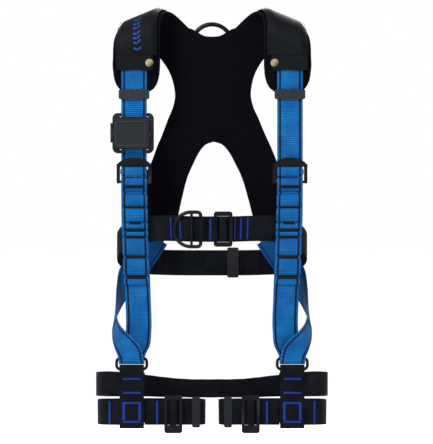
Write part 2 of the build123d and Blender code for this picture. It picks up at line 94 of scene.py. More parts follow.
# --- materials ----------------------------------------------------------------------------
class Surface:
    """A node material with a few shorthands for building procedural detail."""

    def __init__(self, name, colour, roughness, metallic=0.0, specular=0.5):
        self.material = bpy.data.materials.new(name)
        self.material.use_nodes = True
        self.tree = self.material.node_tree
        self.shader = self.tree.nodes["Principled BSDF"]
        self.shader.inputs["Base Color"].default_value = (*colour, 1)
        self.shader.inputs["Roughness"].default_value = roughness
        self.shader.inputs["Metallic"].default_value = metallic
        self.shader.inputs["Specular IOR Level"].default_value = specular

    def node(self, kind, **values):
        made = self.tree.nodes.new(kind)
        for key, value in values.items():
            if key in made.inputs:
                made.inputs[key].default_value = value
            else:
                setattr(made, key, value)
        return made

    def link(self, source, target):
        self.tree.links.new(source, target)

    def math(self, operation, first, second=None):
        made = self.node("ShaderNodeMath", operation=operation)
        for slot, value in enumerate((first, second)):
            if value is None:
                continue
            if isinstance(value, (int, float)):
                made.inputs[slot].default_value = value
            else:
                self.link(value, made.inputs[slot])
        return made.outputs[0]

    def mix(self, factor, first, second):
        made = self.node("ShaderNodeMix", data_type="RGBA")
        self.link(factor, made.inputs["Factor"])
        for slot, value in ((6, first), (7, second)):
            if isinstance(value, tuple):
                made.inputs[slot].default_value = (*value, 1)
            else:
                self.link(value, made.inputs[slot])
        return made.outputs[2]

    def noise(self, scale, detail):
        made = self.node("ShaderNodeTexNoise", Scale=scale, Detail=detail)
        place = self.node("ShaderNodeTexCoord")
        self.link(place.outputs["Object"], made.inputs["Vector"])
        return made.outputs["Fac"]

    def bump(self, height, distance, strength):
        made = self.node("ShaderNodeBump", Distance=distance, Strength=strength)
        self.link(height, made.inputs["Height"])
        self.link(made.outputs["Normal"], self.shader.inputs["Normal"])

    def spread(self, value, low, high):
        """Zero below low, one above high, and even in between."""
        made = self.node("ShaderNodeMapRange")
        self.link(value, made.inputs["Value"])
        made.inputs["From Min"].default_value = low
        made.inputs["From Max"].default_value = high
        return made.outputs["Result"]

    def vary_roughness(self, factor, low, high):
        made = self.node("ShaderNodeMapRange")
        self.link(factor, made.inputs["Value"])
        made.inputs["To Min"].default_value = low
        made.inputs["To Max"].default_value = high
        self.link(made.outputs["Result"], self.shader.inputs["Roughness"])


WEAVE_PITCH = 0.0034             # metres from rib to rib along a strap
THREAD_PITCH = 0.0011            # metres from yarn to yarn across a strap
TRACER_INSET = 0.0052            # metres from a selvedge to the middle of its tracer line
TRACER_HALF = 0.0016             # half the width of a tracer line


def webbing_surface(name, base, light, dark, specular, tracer=None):
    """Woven webbing: ribs across, fine yarns along, selvedges, and optional tracer lines."""
    made = Surface(name, base, 0.6, specular=specular)
    band = made.node("ShaderNodeUVMap", uv_map="Band")
    split = made.node("ShaderNodeSeparateXYZ")
    made.link(band.outputs["UV"], split.inputs["Vector"])
    across = split.outputs["X"]
    along = split.outputs["Y"]
    rib = made.math("SINE", made.math("MULTIPLY", along, 2 * math.pi / WEAVE_PITCH))
    yarn = made.math("SINE", made.math("MULTIPLY", across, 2 * math.pi / THREAD_PITCH))
    fine = made.math("SINE", made.math("MULTIPLY", along, 4 * math.pi / WEAVE_PITCH))
    ribs = made.math("ADD", made.math("MULTIPLY", rib, 0.5), made.math("MULTIPLY", fine, 0.35))
    woven = made.math("ADD", ribs, made.math("MULTIPLY", yarn, 0.15))
    tone = made.math("ADD", made.math("MULTIPLY", woven, 0.36), 0.5)
    blotch = made.noise(38.0, 4.0)
    tone = made.math("ADD", tone, made.math("MULTIPLY", made.math("SUBTRACT", blotch, 0.5), 0.7))
    ramp = made.node("ShaderNodeValToRGB")
    ramp.color_ramp.elements[0].color = (*dark, 1)
    ramp.color_ramp.elements[1].color = (*light, 1)
    middle = ramp.color_ramp.elements.new(0.5)
    middle.color = (*base, 1)
    made.link(tone, ramp.inputs["Fac"])
    colour = ramp.outputs["Color"]
    if tracer:
        lines = None
        for centre in (TRACER_INSET, WEB / 1000 - TRACER_INSET):
            away = made.math("ABSOLUTE", made.math("SUBTRACT", across, centre))
            step = made.math("LESS_THAN", away, TRACER_HALF)
            lines = step if lines is None else made.math("MAXIMUM", lines, step)
        lines = made.math("MULTIPLY", lines, made.math("GREATER_THAN", rib, -0.93))
        colour = made.mix(lines, colour, tracer)
    shade = made.node("ShaderNodeAttribute", attribute_name="Shade")
    shaded = made.mix(shade.outputs["Fac"], dark, colour)
    made.link(shaded, made.shader.inputs["Base Color"])
    made.bump(woven, 0.0006, 0.9)
    made.vary_roughness(blotch, 0.5, 0.75)
    return made.material


def mesh_fabric(name, colour, light, pitch, depth):
    """Knitted spacer mesh with a fine regular cell."""
    made = Surface(name, colour, 0.85, specular=0.015)
    place = made.node("ShaderNodeTexCoord")
    cell = made.node("ShaderNodeTexVoronoi", Scale=1 / pitch)
    made.link(place.outputs["Object"], cell.inputs["Vector"])
    blotch = made.noise(14.0, 4.0)
    made.link(made.mix(blotch, colour, light), made.shader.inputs["Base Color"])
    made.bump(cell.outputs["Distance"], depth, 0.7)
    made.vary_roughness(blotch, 0.75, 0.95)
    return made.material


def coated_fabric(name, colour, light):
    """Satin coated cloth: a fine plain weave with soft creases."""
    made = Surface(name, colour, 0.5, specular=0.035)
    place = made.node("ShaderNodeTexCoord")
    wave = made.node("ShaderNodeTexWave", Scale=420.0, Distortion=0.6)
    made.link(place.outputs["Object"], wave.inputs["Vector"])
    crease = made.noise(26.0, 5.0)
    made.link(made.mix(crease, colour, light), made.shader.inputs["Base Color"])
    height = made.math("ADD", made.math("MULTIPLY", wave.outputs["Fac"], 0.15), crease)
    made.bump(height, 0.0012, 0.5)
    made.vary_roughness(crease, 0.42, 0.62)
    return made.material


def coated_metal(name, colour, worn, roughness=0.36):
    """Black coated steel whose coat is a little rubbed."""
    made = Surface(name, colour, roughness, metallic=0.12, specular=0.1)
    grain = made.noise(180.0, 5.0)
    scuff = made.spread(made.noise(22.0, 3.0), 0.58, 0.75)
    made.link(made.mix(scuff, colour, worn), made.shader.inputs["Base Color"])
    made.bump(grain, 0.0002, 0.35)
    made.vary_roughness(grain, roughness - 0.08, roughness + 0.12)
    return made.material


def moulded_plastic(name, colour, light, roughness=0.5):
    """Moulded polyamide with a spark-eroded grain."""
    made = Surface(name, colour, roughness, specular=0.11)
    grain = made.noise(900.0, 2.0)
    patch = made.noise(18.0, 4.0)
    made.link(made.mix(patch, colour, light), made.shader.inputs["Base Color"])
    made.bump(grain, 0.00015, 0.5)
    made.vary_roughness(patch, roughness - 0.06, roughness + 0.12)
    return made.material


def snap_metal():
    """Aged nickel-brass snap with a random tarnish, a painted shade towards its lower right and a painted
    highlight towards its upper left.
    """
    made = Surface("snap_metal", (0.42, 0.36, 0.24), 0.3, metallic=1.0)
    tarnish = made.noise(320.0, 4.0)
    brass_tone = made.mix(tarnish, (0.46, 0.4, 0.28), (0.27, 0.22, 0.14))
    place = made.node("ShaderNodeTexCoord")
    split = made.node("ShaderNodeSeparateXYZ")
    made.link(place.outputs["Generated"], split.inputs["Vector"])
    # painted highlight and shade: a gradient over the snap's box, light brass at its upper left, near
    # black at its lower right
    painted_lit_side = made.spread(made.math("SUBTRACT", split.outputs["Z"], split.outputs["X"]), -0.65, 0.15)
    made.link(made.mix(painted_lit_side, (0.03, 0.024, 0.016), brass_tone), made.shader.inputs["Base Color"])
    made.bump(tarnish, 0.0001, 0.3)
    made.vary_roughness(tarnish, 0.2, 0.42)
    return made.material


def thread_surface(name, colour, light):
    """Sewing thread with a slight sheen."""
    made = Surface(name, colour, 0.6, specular=0.08)
    fleck = made.noise(700.0, 2.0)
    made.link(made.mix(fleck, colour, light), made.shader.inputs["Base Color"])
    made.bump(fleck, 0.0002, 0.5)
    return made.material


BLUE = webbing_surface(
    "blue_web",
    (0.0014, 0.05, 0.168),
    (0.006, 0.127, 0.3),
    (0.0008, 0.017, 0.075),
    specular=0.055,
    tracer=(0.0006, 0.0008, 0.0014),
)
BLACK = webbing_surface(
    "black_web", (0.0014, 0.0017, 0.003), (0.0085, 0.0105, 0.0175), (0.0004, 0.0005, 0.001), specular=0.035
)
PAD = mesh_fabric("pad_mesh", (0.0008, 0.0009, 0.0014), (0.0016, 0.0018, 0.0028), 0.0022, 0.0007)
BINDING = mesh_fabric("pad_binding", (0.001, 0.0011, 0.0017), (0.003, 0.0033, 0.0045), 0.0009, 0.0003)
COVER = coated_fabric("cover_cloth", (0.0016, 0.0019, 0.0024), (0.0032, 0.004, 0.005))
METAL = coated_metal("coated_metal", (0.0018, 0.0018, 0.0024), (0.012, 0.012, 0.014))
# a lighter copy of the coated metal for the buckle and adjuster bars: painted highlight
BAR_METAL_HIGHLIGHT = coated_metal("bar_metal", (0.0022, 0.0022, 0.003), (0.016, 0.016, 0.018), 0.4)
PLASTIC = moulded_plastic("moulded_grey", (0.006, 0.0072, 0.009), (0.010, 0.012, 0.0145))
CASE = moulded_plastic("moulded_case", (0.0035, 0.0044, 0.006), (0.0065, 0.008, 0.0105), 0.42)
# lighter plastic for the lid's rim: a painted highlight along the edge of the lid's panel
RIM_HIGHLIGHT = moulded_plastic("moulded_rim_highlight", (0.017, 0.019, 0.023), (0.024, 0.027, 0.032), 0.4)
DARK_PLASTIC = moulded_plastic("moulded_black", (0.0025, 0.003, 0.004), (0.0045, 0.0054, 0.007))
LABEL = moulded_plastic("label_paper", (0.4, 0.4, 0.39), (0.45, 0.45, 0.44), 0.6)
SNAP = snap_metal()
BLACK_THREAD = thread_surface("black_thread", (0.0006, 0.0008, 0.0012), (0.002, 0.0022, 0.003))
BLUE_THREAD = thread_surface("blue_thread", (0.0018, 0.009, 0.085), (0.004, 0.022, 0.16))
PRINT = thread_surface("blue_print", (0.0018, 0.024, 0.12), (0.0035, 0.036, 0.16))


# --- mesh building ------------------------------------------------------------------------
def add_object(name, vertices, faces, material):
    """New smooth mesh object in the row frame, in metres."""
    data = bpy.data.meshes.new(name)
    data.from_pydata([tuple(v) for v in vertices], [], faces)
    data.validate()
    data.materials.append(material)
    data.polygons.foreach_set("use_smooth", [True] * len(data.polygons))
    made = bpy.data.objects.new(name, data)
    bpy.context.scene.collection.objects.link(made)
    recalc = bmesh.new()
    recalc.from_mesh(data)
    bmesh.ops.recalc_face_normals(recalc, faces=recalc.faces)
    recalc.to_mesh(data)
    recalc.free()
    return made


def smooth_curve(points, step):
    """Dense points of a smooth curve through sparse ones; values after the third are carried along."""
    points = np.array([tuple(p) for p in points], float)
    gaps = np.linalg.norm(np.diff(points[:, :3], axis=0), axis=1)
    slopes = np.diff(points, axis=0) / gaps[:, None]
    tangents = np.empty_like(points)
    tangents[0] = slopes[0]
    tangents[-1] = slopes[-1]
    before = gaps[:-1, None]
    after = gaps[1:, None]
    tangents[1:-1] = (slopes[:-1] * after + slopes[1:] * before) / (before + after)
    dense = []
    for index, gap in enumerate(gaps):
        count = max(int(math.ceil(gap / step)), 2)
        for part in range(count):
            t = part / count
            h00 = 2 * t**3 - 3 * t**2 + 1
            h10 = t**3 - 2 * t**2 + t
            h01 = -2 * t**3 + 3 * t**2
            h11 = t**3 - t**2
            start = h00 * points[index] + h10 * gap * tangents[index]
            dense.append(start + h01 * points[index + 1] + h11 * gap * tangents[index + 1])
    dense.append(points[-1])
    return np.array(dense)


EDGE = [(-0.5, 0.0), (-0.494, 0.62), (-0.478, 0.95), (-0.25, 1.0), (0.0, 1.0)]
WEB_PROFILE = EDGE + [(-s, h) for s, h in reversed(EDGE[:-1])]
CROWN = [(-0.5, 0.0), (-0.488, 0.42), (-0.46, 0.68), (-0.41, 0.86), (-0.3, 0.96), (-0.15, 1.0), (0.0, 1.0)]
PAD_PROFILE = CROWN + [(-s, h) for s, h in reversed(CROWN[:-1])]


class Band:
    """A strap or pad: a smooth band with a rounded section, in layout millimetres."""

    def __init__(self, stations, thickness=WEB_T, step=4.0, profile=WEB_PROFILE, ripple=0.0):
        rows = [(*centre, *wide) for centre, wide in stations]
        dense = smooth_curve(rows, step)
        self.centres = dense[:, :3]
        self.wides = dense[:, 3:]
        tangents = np.gradient(self.centres, axis=0)
        normals = np.cross(tangents, self.wides)
        self.tangents = tangents / np.linalg.norm(tangents, axis=1)[:, None]
        self.normals = normals / np.linalg.norm(normals, axis=1)[:, None]
        runs = np.linalg.norm(np.diff(self.centres, axis=0), axis=1)
        self.lengths = np.concatenate([[0.0], np.cumsum(runs)])
        wave = np.sin(self.lengths * 0.21) + 0.6 * np.sin(self.lengths * 0.083 + 1.3)
        self.centres = self.centres + self.normals * (wave * ripple)[:, None]
        self.thickness = thickness
        self.profile = profile
        self.shades = np.ones(len(self.centres))
        self.drape = None
        self.facing = 1.0 if self.normals[0][1] < 0 else -1.0

    def build(self, name, material, slot, side=1):
        """Mesh of the band; side -1 mirrors it."""
        half = self.thickness / 2
        loop = self.profile + [(s, -h) for s, h in reversed(self.profile[1:-1])]
        count = len(loop)
        vertices = []
        uvs = []
        for centre, wide, normal, length in zip(self.centres, self.wides, self.normals, self.lengths):
            for s, h in loop:
                fall = self.drape(s) if self.drape else 0.0
                point = centre + wide * s + normal * (half * h + fall * self.facing)
                vertices.append(to_row((point[0] * side, point[1], point[2])))
                uvs.append(((s + 0.5) * WEB / 1000, length / 1000))
        faces = []
        for row in range(len(self.centres) - 1):
            for column in range(count):
                after = (column + 1) % count
                low = row * count
                faces.append((low + column, low + after, low + count + after, low + count + column))
        last = (len(self.centres) - 1) * count
        faces.append(tuple(reversed(range(count))))
        faces.append(tuple(range(last, last + count)))
        made = add_object(name, vertices, faces, material)
        shading = made.data.attributes.new("Shade", "FLOAT", "POINT")
        shading.data.foreach_set("value", np.repeat(self.shades, count))
        layer = made.data.uv_layers.new(name="Band")
        for loop_item in made.data.loops:
            layer.data[loop_item.index].uv = uvs[loop_item.vertex_index]
        return made

    def at(self, target):
        """Index of the station nearest a layout point."""
        return int(np.argmin(np.linalg.norm(self.centres - np.array(target, float), axis=1)))

    def seat(self, target, outward, shift=0.0):
        """Centre on the band's surface facing outward, with its across, along and normal directions."""
        index = self.at(target)
        normal = Vector(self.normals[index])
        if normal.dot(Vector(outward)) < 0:
            normal = -normal
        across = Vector(self.wides[index]).normalized()
        along = Vector(self.tangents[index])
        centre = Vector(self.centres[index]) + normal * (self.thickness / 2) + across * shift
        return centre, across, along, normal


class Patches:
    """Collects small closed relief patches, such as bar tacks, into one mesh."""

    def __init__(self):
        self.vertices = []
        self.faces = []

    def patch(self, seat, width, height, relief, columns, rows, side, tilt=0.0):
        """One patch; its edge lies a little under the cloth."""
        centre, across, along, normal = seat
        turned = across * math.cos(tilt) + along * math.sin(tilt)
        upright = along * math.cos(tilt) - across * math.sin(tilt)
        start = len(self.vertices)
        for row in range(rows + 1):
            for column in range(columns + 1):
                u = column / columns - 0.5
                v = row / rows - 0.5
                edge = column in (0, columns) or row in (0, rows)
                lift = -0.15 if edge else relief(u, v)
                point = centre + turned * (u * width) + upright * (v * height) + normal * lift
                self.vertices.append(to_row((point.x * side, point.y, point.z)))
        for row in range(rows):
            for column in range(columns):
                low = start + row * (columns + 1) + column
                self.faces.append((low, low + 1, low + columns + 2, low + columns + 1))
        rim = [start + column for column in range(columns + 1)]
        rim += [start + row * (columns + 1) + columns for row in range(1, rows + 1)]
        rim += [start + rows * (columns + 1) + column for column in range(columns - 1, -1, -1)]
        rim += [start + row * (columns + 1) for row in range(rows - 1, 0, -1)]
        self.faces.append(tuple(reversed(rim)))

    def build(self, name, material, slot):
        return add_object(name, self.vertices, self.faces, material)


TACK_HEIGHT = 0.75
TACK_THREAD = 1.3                # pitch of a bar tack's threads


def satin(turns):
    """Relief of a bar tack: parallel threads with rounded ends."""
    def relief(u, v):
        thread = abs(math.sin(math.pi * turns * (u + 0.5)))
        return TACK_HEIGHT * (0.45 + 0.55 * thread) * (1 - abs(2 * v) ** 4)
    return relief


def flat_relief(height):
    """Relief of a flat raised patch with soft edges."""
    def relief(u, v):
        return height * (1 - abs(2 * u) ** 8) * (1 - abs(2 * v) ** 8)
    return relief


def bar_tack(patches, seat, width, height, side, tilt=0.0):
    """Dense stitched bar; threads run along its short side."""
    turns = int(width / TACK_THREAD)
    patches.patch(seat, width, height, satin(turns), turns * 4, 6, side, tilt)


STITCH_PITCH = 3.4
STITCH_LENGTH = 2.2


def running_stitch(patches, band, first, last, shift, side):
    """Row of stitches along the front of a band between two layout points."""
    low, high = sorted((band.at(first), band.at(last)))
    for place in np.arange(band.lengths[low], band.lengths[high], STITCH_PITCH):
        index = int(np.argmin(np.abs(band.lengths - place)))
        seat = band.seat(band.centres[index], FRONT, shift)
        patches.patch(seat, 0.9, STITCH_LENGTH, flat_relief(0.35), 3, 6, side)


# --- shoulder arch ------------------------------------------------------------------------
def arch_point(front_x, radius, turn):
    """Point of a half turn over the ridge that starts at the front above front_x."""
    reach = (front_x - ARCH_START.x) / math.cos(RIDGE_SLOPE) - ARCH_LEAD * turn / math.pi
    return ARCH_START + ALONG * reach + (RISE * math.sin(turn) - REAR * math.cos(turn)) * radius


def arch_stations(front_x, radius, width, last=ARCH_STEPS, drift=0.0):
    """Stations over the ridge; drift moves the front foot outwards."""
    wide = ALONG * (width / math.cos(RIDGE_SLOPE))
    turns = [math.pi * step / ARCH_STEPS for step in range(last + 1)]
    sideways = [Vector((drift * max(math.cos(turn), 0), 0, 0)) for turn in turns]
    return [(arch_point(front_x, radius, turn) + shift, wide) for turn, shift in zip(turns, sideways)]


def level(points, wide=(WEB, 0, 0)):
    """Stations whose width direction stays the same."""
    return [(Vector(point), Vector(wide)) for point in points]


# --- straps -------------------------------------------------------------------------------
LEG_X = 141.0                    # middle of the leg connectors


def shoulder_strap():
    """Down from the dorsal plate, over the shoulder and rolled round the adjuster."""
    arch = arch_stations(STRAP_X, STRAP_R, WEB)
    skew = arch[0][1]
    tip = arch[-1][0] + BACK_RUN * 94
    roll = [
        (-54, -251.3),
        (-59, -252.8),
        (-60.5, -256),
        (-60.5, -262),
        (-59, -265.5),
        (-54, -267.8),
        (-49.5, -265.5),
        (-48, -262),
        (-48, -240),
        (-48, -200),
        (-48, -150),
    ]
    front = level([(STRAP_X, y, z) for y, z in roll])
    top = [(Vector((STRAP_X, -STRAP_R, -80)), skew)]
    return Band(front + top + arch + [(tip, skew)], step=3.0, ripple=0.12)


def front_strap():
    """Folded under the adjuster, through the leg ring and twisted up to the back."""
    front = level([
        (STRAP_X, -50.2, -306),
        (STRAP_X, -50.0, -293),
        (STRAP_X, -47.5, -280),
        (STRAP_X, -48.2, -273.4),
        (STRAP_X, -52.5, -269.7),
        (STRAP_X, -56.8, -273.4),
        (STRAP_X, -57.5, -280),
        (STRAP_X, -52.8, -292),
        (136.5, -52.5, -345),
        (133, -52.5, -410),
        (130, -52.5, -480),
        (129, -52, -540),
        (132, -50, -566),
        (139, -47, -580),
        (LEG_X, -45.8, -587),
        (LEG_X, -48, -594),
        (LEG_X, -53, -596.3),
        (LEG_X, -58, -594),
        (142, -60.2, -588),
    ])
    flank = (171.5, -28, -520)
    wrap = [
        ((144, -61, -578), 10),
        ((151, -60, -567), 30),
        ((161, -54, -555), 54),
        ((169, -42, -540), 70),
        (flank, 80),
        ((167, -10, -495), 95),
        ((159, 10, -468), 119),
        ((148, 29, -443), 151),
        ((127, 43, -418), 175),
        ((108, 48, -391), 180),
        ((99, 48, -376), 180),
    ]
    centres = [front[-1][0]] + [Vector(centre) for centre, facing in wrap]
    for index, (centre, facing) in enumerate(wrap):
        after = centres[min(index + 2, len(wrap))]
        course = (after - centres[index]).normalized()
        turn = math.radians(facing)
        outward = Vector((math.sin(turn), -math.cos(turn), 0))
        front.append((Vector(centre), course.cross(outward).normalized() * WEB))
    made = Band(front, step=3.0)
    start = made.lengths[made.at(flank)]
    made.shades = 1.0 - 0.62 * np.clip((made.lengths - start) / 30, 0, 1)
    return made


def back_strap():
    """Along the back pad's leg to the end of the front strap, in shade at its end."""
    course = [
        ((24, 48, -136), (0.94, 0, 0.34)),
        ((71.5, 48, -250), (0.94, 0, 0.34)),
        ((98.5, 48.4, -335), (0.955, 0, 0.29)),
        ((105, 50.3, -364), (0.96, 0, 0.27)),
        ((111, 50.5, -394), (0.965, 0, 0.26)),
    ]
    made = Band([(Vector(centre), Vector(wide).normalized() * WEB) for centre, wide in course], ripple=0.1)
    made.shades = 1.0 - 0.55 * np.clip((made.lengths - made.lengths[-1] + 34) / 22, 0, 1)
    return made


LOOP_SEATS = [-298, -322, -349, -362, -374, -409, -444]
SHORT_TACK = -349                # the seat whose tack is shorter
LOOP_LIFTS = [7.5, 7.5, 3.0, 3.0, 8.0, 6.0]
LOOP_Y = -55.4


def loop_x(z):
    """Middle of the loop webbing, which follows the front strap inwards."""
    return 136.5 + (z - LOOP_SEATS[0]) * 0.025


def loop_webbing():
    """Overlay webbing that lifts off between its tacks and is drawn in at each of them."""
    pinch = Vector((WEB - 3.5, 0, 0))
    full = Vector((WEB + 0.5, 0, 0))
    stations = [(Vector((136.6, LOOP_Y - 0.6, LOOP_SEATS[0] + 3)), pinch)]
    for upper, lower, lift in zip(LOOP_SEATS, LOOP_SEATS[1:], LOOP_LIFTS):
        span = upper - lower
        stations.append((Vector((loop_x(upper), LOOP_Y, upper)), pinch))
        for part, share in ((0.16, 0.72), (0.38, 1.0), (0.62, 0.9), (0.84, 0.55)):
            z = upper - span * part
            stations.append((Vector((loop_x(z), LOOP_Y - lift * share, z)), full))
    stations.append((Vector((loop_x(LOOP_SEATS[-1]), LOOP_Y, LOOP_SEATS[-1])), pinch))
    for x, depth, drop in ((132.3, 2.6, 6), (132.2, 2.2, 12), (132.1, -0.2, 14)):
        stations.append((Vector((x, LOOP_Y - depth, LOOP_SEATS[-1] - drop)), full))
    return Band(stations, step=2.0)


def leg_connector():
    """Flat loop through the leg ring and round the seat and thigh straps."""
    course = [
        (-46.6, -640),
        (-47.0, -616),
        (-46.8, -606),
        (-48.6, -600.8),
        (-53, -598.9),
        (-57.4, -600.8),
        (-59.2, -606),
        (-56, -618),
        (-53, -630),
        (-52.7, -704),
        (-51.6, -708),
        (-49.4, -709.3),
        (-47.4, -708),
        (-46.6, -704),
        (-46.6, -644),
    ]
    return Band(level([(LEG_X, y, z) for y, z in course], (43, 0, 0)), step=3.0)


def seat_strap():
    """Round both legs and across the back, where it sags and tilts."""
    right = [
        ((0, 46, -643), (0, -26, 33)),
        ((60, 46, -642), (0, -25, 34)),
        ((110, 45, -638.5), (0, -17, 38.5)),
        ((150, 41, -635), (0, -7, 41.5)),
        ((184, 28, -633), (0, 0, 42)),
        ((202, 2, -633), (0, 0, 42)),
        ((203, -14, -633), (0, 0, 42)),
        ((190, -40, -633), (0, 0, 42)),
        ((172, -49, -633), (0, 0, 42)),
        ((118, -49.8, -633), (0, 0, 42)),
    ]
    stations = [(Vector(centre), Vector(wide)) for centre, wide in right]
    left = [(Vector((-centre.x, centre.y, centre.z)), wide) for centre, wide in reversed(stations[1:])]
    return Band(left + stations, step=6.0, ripple=0.25)


def thigh_strap():
    """Once round the thigh, with its end threaded through the friction buckle."""
    rear = THIGH_REAR_Y
    front = THIGH_FRONT_Y
    points = [
        (119, front, THIGH_Z),
        (176, front, THIGH_Z),
        (193, front + 9, THIGH_Z),
        (200, front + 28, THIGH_Z),
        (200, rear - 28, THIGH_Z),
        (193, rear - 9, THIGH_Z),
        (176, rear, THIGH_Z),
        (38, rear, THIGH_Z),
        (21, rear - 9, THIGH_Z),
        (14, rear - 28, THIGH_Z),
        (14, front + 14, THIGH_Z),
        (15.5, front + 6.5, THIGH_Z),
        (19.5, front + 2, THIGH_Z),
        (56.5, front + 2, THIGH_Z),
        (59.5, front - 0.5, THIGH_Z),
        (62, front - 6, THIGH_Z),
        (68, front - 9.6, THIGH_Z),
        (74, front - 6, THIGH_Z),
        (76.5, front - 0.5, THIGH_Z),
        (79.5, front + 2, THIGH_Z),
        (100, front + 1, THIGH_Z),
        (118.4, front, THIGH_Z),
    ]
    return Band(level(points, (0, 0, 44)), step=4.0)


BELT_SIDE = [
    (112, BELT_Y, BELT_Z),
    (138, BELT_Y + 5, -364),
    (158, BELT_Y + 24, -376),
    (167, 4, -390),
    (161, 32, -404),
    (140, 52, -413),
    (114, REAR_BELT_Y, -418),
    (104, REAR_BELT_Y - 0.2, -418.6),
    (90, REAR_BELT_Y - 0.8, -419),
]


def belt_left():
    """Left half, folded back behind its own end; built mirrored."""
    tip = [
        (3, BELT_Y - 10, BELT_Z),
        (-7, BELT_Y - 10, BELT_Z),
        (-9.6, BELT_Y - 8, BELT_Z),
        (-10.3, BELT_Y - 5, BELT_Z),
        (-9.6, BELT_Y - 2, BELT_Z),
        (-7, BELT_Y, BELT_Z),
        (20, BELT_Y, BELT_Z),
    ]
    return Band(level(tip + BELT_SIDE, (0, 0, WEB)), step=4.0)


def belt_right():
    """Right half, threaded through the friction buckle."""
    tip = [
        (4, BELT_Y + 3.2, BELT_Z),
        (8.5, BELT_Y + 3, BELT_Z),
        (11.5, BELT_Y + 1.4, BELT_Z),
        (12.9, BELT_Y - 2, BELT_Z),
        (13, BELT_Y - 5, BELT_Z),
        (13.6, BELT_Y - 9, BELT_Z),
        (19, BELT_Y - 12.2, BELT_Z),
        (24.6, BELT_Y - 9, BELT_Z),
        (26.5, BELT_Y - 3, BELT_Z),
        (30, BELT_Y, BELT_Z),
    ]
    return Band(level(tip + BELT_SIDE, (0, 0, WEB)), step=4.0)


def belt_rear():
    """Across the back, over the ends of both halves."""
    right = [
        (0, REAR_BELT_Y, -420),
        (60, REAR_BELT_Y, -419.8),
        (74, REAR_BELT_Y + 0.6, -419.6),
        (88, REAR_BELT_Y + 2, -419.2),
        (104, REAR_BELT_Y + 2.5, -418.6),
        (114, REAR_BELT_Y + 2.4, -418),
    ]
    left = [(-x, y, z) for x, y, z in reversed(right[1:])]
    return Band(level(left + right, (0, 0, WEB)), step=6.0)


def belt_d_loop():
    """Short webbing that holds the ventral D-ring's bar."""
    points = [
        (-2, -48.3, BELT_Z),
        (-10, -48.7, BELT_Z),
        (-14, -53, BELT_Z),
        (-16.5, -55.2, BELT_Z),
        (-20, -56.2, BELT_Z),
        (-23.5, -55.2, BELT_Z),
        (-25.6, -52, BELT_Z),
        (-26.4, -48.5, BELT_Z),
    ]
    return Band(level(points, (0, 0, 43)), step=1.5)


def soft(band, name, material, slot, node, side=1, body=ROOT):
    """Build a band, put it on a body and let it stand for its CAD node."""
    made = band.build(name, material, slot, side)
    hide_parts(node)
    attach(made, body)
    return made


def make_straps():
    """Every strap, in place of its CAD solid."""
    pairs = {
        "shoulder_strap": (shoulder_strap(), BLUE, "blue_webbing"),
        "front_strap": (front_strap(), BLUE, "blue_webbing"),
        "back_strap": (back_strap(), BLUE, "blue_webbing"),
        "loop_webbing": (loop_webbing(), BLUE, "blue_webbing"),
        "leg_connector": (leg_connector(), BLACK, "black_webbing"),
        "thigh_strap": (thigh_strap(), BLACK, "black_webbing"),
    }
    bands = {}
    for node, (band, material, slot) in pairs.items():
        bands[node] = band
        for name, side in SIDES.items():
            soft(band, f"{node}_{name}_web", material, slot, f"{node}_{name}", side)
    singles = {
        "seat_strap": (seat_strap(), 1),
        "belt_left": (belt_left(), -1),
        "belt_right": (belt_right(), 1),
        "belt_rear": (belt_rear(), 1),
        "belt_d_loop": (belt_d_loop(), 1),
    }
    for node, (band, side) in singles.items():
        bands[node] = band
        soft(band, f"{node}_web", BLACK, "black_webbing", node, side)
    return bands


# --- stitching ----------------------------------------------------------------------------
def raised(seat, height):
    """The same seat, lifted off the cloth."""
    centre, across, along, normal = seat
    return centre + normal * height, across, along, normal


LOOP_TACK_LIFT = 2.9             # keeps the tacks between the loops in sight


def stitch_fronts(bands):
    """Bar tacks of the blue and black front webbing."""
    loops = bands["loop_webbing"]
    front = bands["front_strap"]
    back = bands["back_strap"]
    connector = bands["leg_connector"]
    thigh = bands["thigh_strap"]
    for name, side in SIDES.items():
        black = Patches()
        for z in LOOP_SEATS[1:]:
            width = 20 if z == SHORT_TACK else 31
            seat = raised(loops.seat((loop_x(z), LOOP_Y, z), FRONT), LOOP_TACK_LIFT)
            bar_tack(black, seat, width, 5.8, side)
        bar_tack(black, raised(front.seat((STRAP_X, -57.2, -284.5), FRONT), 0.3), 31, 5.2, side)
        bar_tack(black, raised(front.seat((170.5, -35, -530), (1, -0.4, 0)), 0.2), 32, 3.6, side)
        for z in (-372, -388):
            bar_tack(black, raised(back.seat((109, 50.5, z), REAR), 0.2), 34, 3.6, side)
        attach(black.build(f"front_tacks_{name}", BLACK_THREAD, "blue_webbing"), ROOT)
        blue = Patches()
        for z in (-622, -649):
            bar_tack(blue, connector.seat((LEG_X, -53, z), FRONT), 32, 4.0, side)
        for z in (-665, -698):
            bar_tack(blue, connector.seat((LEG_X, -53, z), FRONT), 31, 4.0, side)
        for shift in (-14, 14):
            seat = connector.seat((LEG_X, -53, -681.5), FRONT, shift)
            blue.patch(seat, 4.8, 31, satin(4), 16, 40, side)
        for x in (96, 180):
            bar_tack(blue, thigh.seat((x, THIGH_FRONT_Y, THIGH_Z), FRONT), 40, 4.2, side)
        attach(blue.build(f"leg_tacks_{name}", BLUE_THREAD, "black_webbing"), ROOT)


